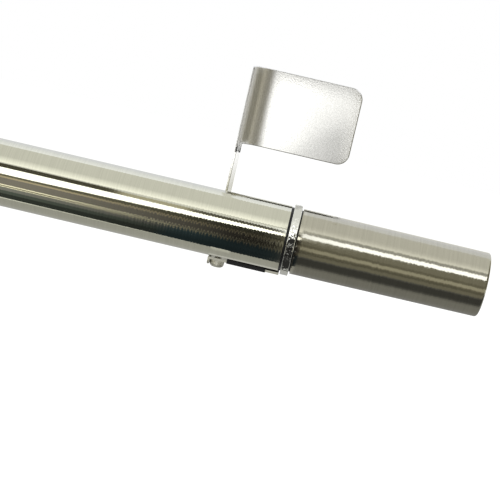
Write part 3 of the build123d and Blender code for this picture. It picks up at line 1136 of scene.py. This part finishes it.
def listCard(name, rows, colour=white, back=None):
    # rows are (first corner, second corner, their strengths), in mm from the rod's end and axis
    def place(x, y, z):
        return (rightEnd + x * mm, axisY + y * mm, axisZ + z * mm)
    glowCard(name, [(place(*a), place(*b), *glow) for a, b, glow in rows], colour, back)


def flatCard(name, x, y, z, glow, colour=white, back=None):
    # an even upright card: the places of its edges in x and y, its lower and upper z
    listCard(name, [((a, b, z[0]), (a, b, z[1]), (glow, glow)) for a, b in zip(x, y)], colour, back)


# cards over the wall plate's face, at the room's level on the side towards the rod
listCard("platePanel", [((17.8, -5, 44), (17.8, -5, 56), (1.02, 1.3)), ((3, -5, 34.5), (3, -5, 56.3), (1.12, 1.5)),
                        ((-6, -5, 25), (-6, -5, 56.6), (1.4, 1.7)), ((-24, -5, 15), (-24, -5, 57.2), (1.6, 1.8))],
         white, 1)
listCard("plateBack", [((17.8, -6, 16.6), (17.8, -6, 73), (0.6, 1.13)), ((3, -6, 20), (3, -6, 75), (0.95, 1)),
                       ((-24, -6, 10), (-24, -6, 75), (1.02, 1))], white, 1)
# beside its bend, and close round its free edge
listCard("bendCard", [((170, y, -15), (170, y, 175), (g, g)) for y, g in (
    (-273, 0.24), (-60, 0.24), (0, 0.31), (40, 0.5), (75, 0.58))], olive)
flatCard("frontCard", (-24.5, -28.4), (13.5, 13.5), (29, 60.5), 0.43, white, 1)
flatCard("grazeCard", (-25.85, -24.7), (40, 40), (29.8, 60.5), 0.42, olive)
flatCard("edgeCard", (18.8, 19.6, 19.6), (55.15, 55.4, 57), (26, 63), 0.12)
flatCard("rimSide", (17.9, 17.9), (-5, 0), (26, 57), 0.56, olive)
flatCard("rimCard", (21, 18.2), (-5, -5), (26, 57), 1.5, white, 1)
# far beyond the rod's other end, and dark ones round the arm just under the bend
flatCard("leftCard", (-950, -950), (-1560, 350), (-190, 570), 0.3, olive)
flatCard("notchCard", (-26.1, -23.8), (53, 53), (24.2, 29.2), 0.03)
flatCard("notchFront", (-24.5, -28.4), (13.5, 13.5), (26.6, 28.9), 0.04, white, 1)
flatCard("notchSide", (-24.6, -24.6), (13.5, 22), (26.2, 29.3), 0.03)
flatCard("notchNear", (-26.5, -25.2), (28, 28), (26.4, 30.6), 0.03)
# along the saddle's lip, which the rod's lowest line mirrors
listCard("lipCard", [((x, -3.15, -12.6), (x, -3.5, -14.2), (0.7, 0.7)) for x in (-27, 0.7)])
for y in (0, 2, 4):
    flatCard("gapCard", (-26, -19.8), (y, y), (-12.4, -13.3), 0.6)
# above the wall plate, which the rod's upper line sees by way of it
flatCard("highCard", (30, -60), (-5.5, -5.5), (63, 112), 0.12, white, 1)
# in front of the clamp screw and of the collar
listCard("screwCard", [((-27, y, z), (-19.5, y, z), (g, g)) for y, z, g in (
    (-10, -13.4, 0.95), (-10, -22, 0.8), (-4, -27, 0.56))])
collarStart, collarEnd, collarReach = rightEnd + 0.8 * mm, rightEnd + 3.95 * mm, 18 * mm
for low, high, glow in ((-136, -67, 0.5), (-67, -34, 0.03), (-34, -31.5, 0.22), (-31.5, -18, 0.02), (-18, -16, 0.3),
                        (-16, -5, 0.02), (-5, -2.5, 0.45), (-2.5, 11, 0.03), (50, 91, 0.85), (91, 122, 0.6)):
    longCard("collarCard", [(x, low, high, glow, glow) for x in (collarStart, collarEnd)], white, collarReach)

lampSet = {"place": (-0.2, -0.5, 1.1), "aim": (-0.2, -0.05, 0), "size": (0.9, 0.6), "power": 6}


def softLamp(name, s):
    data = bpy.data.lights.new(name, "AREA")
    data.shape = "RECTANGLE"
    data.size, data.size_y = s["size"]
    data.energy = s["power"]
    lamp = newObject(name, data)
    lamp.matrix_world = lookAt(s["place"], s["aim"])
    lamp.visible_camera = False
    lamp.visible_glossy = False


softLamp("topSoftbox", lampSet)
print("studio set")

bpy.context.scene.view_settings.view_transform = "Standard"
